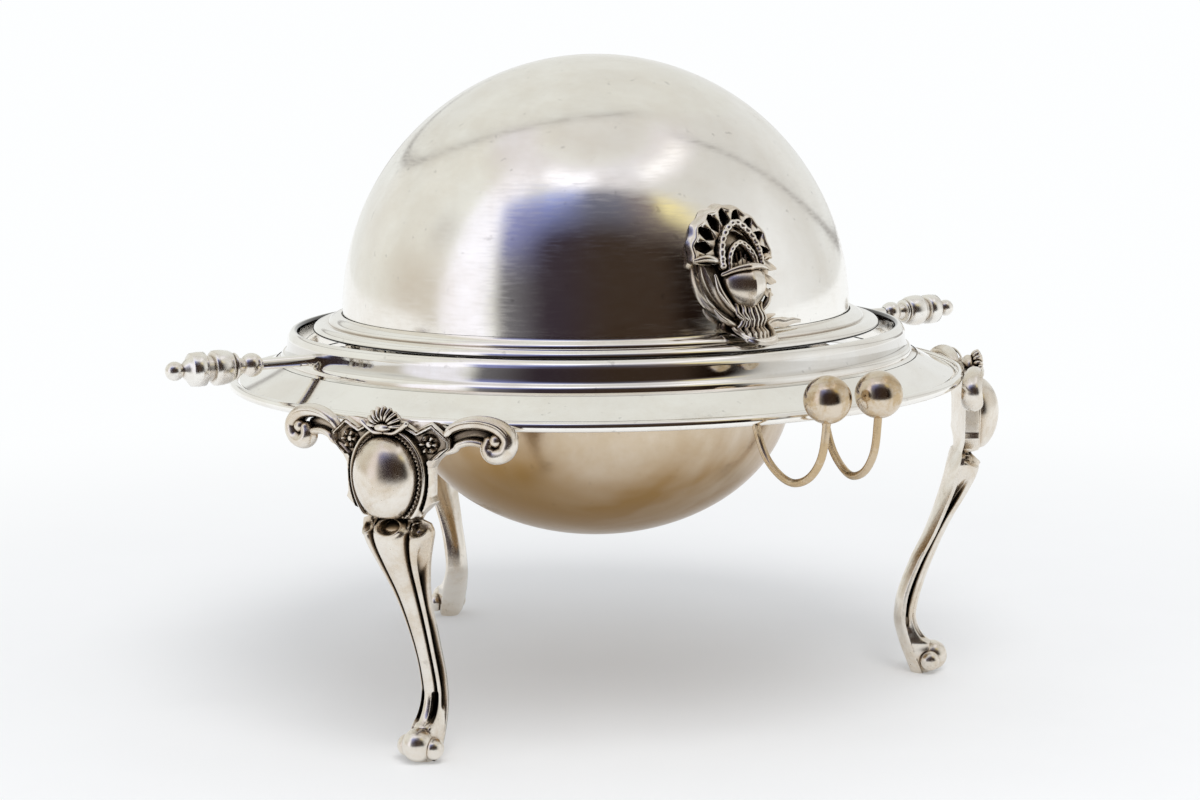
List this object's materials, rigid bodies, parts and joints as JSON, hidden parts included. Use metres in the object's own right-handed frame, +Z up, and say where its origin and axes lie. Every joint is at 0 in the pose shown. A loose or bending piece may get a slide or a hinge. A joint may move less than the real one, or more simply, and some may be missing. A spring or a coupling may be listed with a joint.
{
  "type": "revolving caviar dish",
  "caption": "Footed dish with a domed lid that turns on two side pivots and rolls under the bowl, a glass liner inside and ball-ended rests at the front.",
  "frame": {"origin": "middle of the footprint on the table, midway between the front of the knife rests and the boss of the back leg", "axes": "+X along the lid's two pivots, -Y towards the thumbpiece and knife rests, +Z up"},
  "size_m": [0.2172, 0.2019, 0.15],
  "materials": {
    "satin_plate": "silver plate, softly brushed by polishing",
    "polished_plate": "silver plate, polished",
    "worn_plate": "silver plate, worn and tarnished brown in clouds",
    "cast_plate": "cast and plated, dark in the hollows",
    "clear_glass": "clear pressed glass"
  },
  "bodies": {
    "stand": {"collar": "polished_plate", "sloping_ring": "polished_plate", "edge_wire": "polished_plate", "pivot_shaft_left": "polished_plate", "pivot_nut_left": "polished_plate", "outer_spacer_left": "polished_plate", "inner_spacer_left": "polished_plate", "bowl_ear_left": "polished_plate", "knife_rest_ball_left": "polished_plate", "pivot_shaft_right": "polished_plate", "pivot_nut_right": "polished_plate", "outer_spacer_right": "polished_plate", "inner_spacer_right": "polished_plate", "bowl_ear_right": "polished_plate", "knife_rest_ball_right": "polished_plate", "bowl": "worn_plate", "lid_stop": "cast_plate", "leg_back": "cast_plate", "leg_front_left": "cast_plate", "leg_front_right": "cast_plate", "knob_left": "cast_plate", "knife_rest_wire_left": "cast_plate", "knob_right": "cast_plate", "knife_rest_wire_right": "cast_plate"},
    "lid": {"lid_shell": "satin_plate", "lid_moulding": "polished_plate", "lid_thumbpiece": "cast_plate", "lid_lug_left": "cast_plate", "lid_lug_right": "cast_plate"},
    "drainer": {"drainer": "polished_plate"},
    "liner": {"glass_liner": "clear_glass"}
  },
  "joints": [
    {"name": "lid_roll", "type": "hinge", "parent": "stand", "child": "lid", "pos_m": [0, 0.00498, 0.0832], "axis": [-1, 0, 0], "range_deg": [0, 180]},
    {"name": "liner_lift", "type": "slide", "parent": "stand", "child": "liner", "axis": [0, 0, 1], "range_m": [0, 0.015]},
    {"name": "drainer_lift", "type": "slide", "parent": "stand", "child": "drainer", "axis": [0, 0, 1], "range_m": [0, 0.007]}
  ]
}
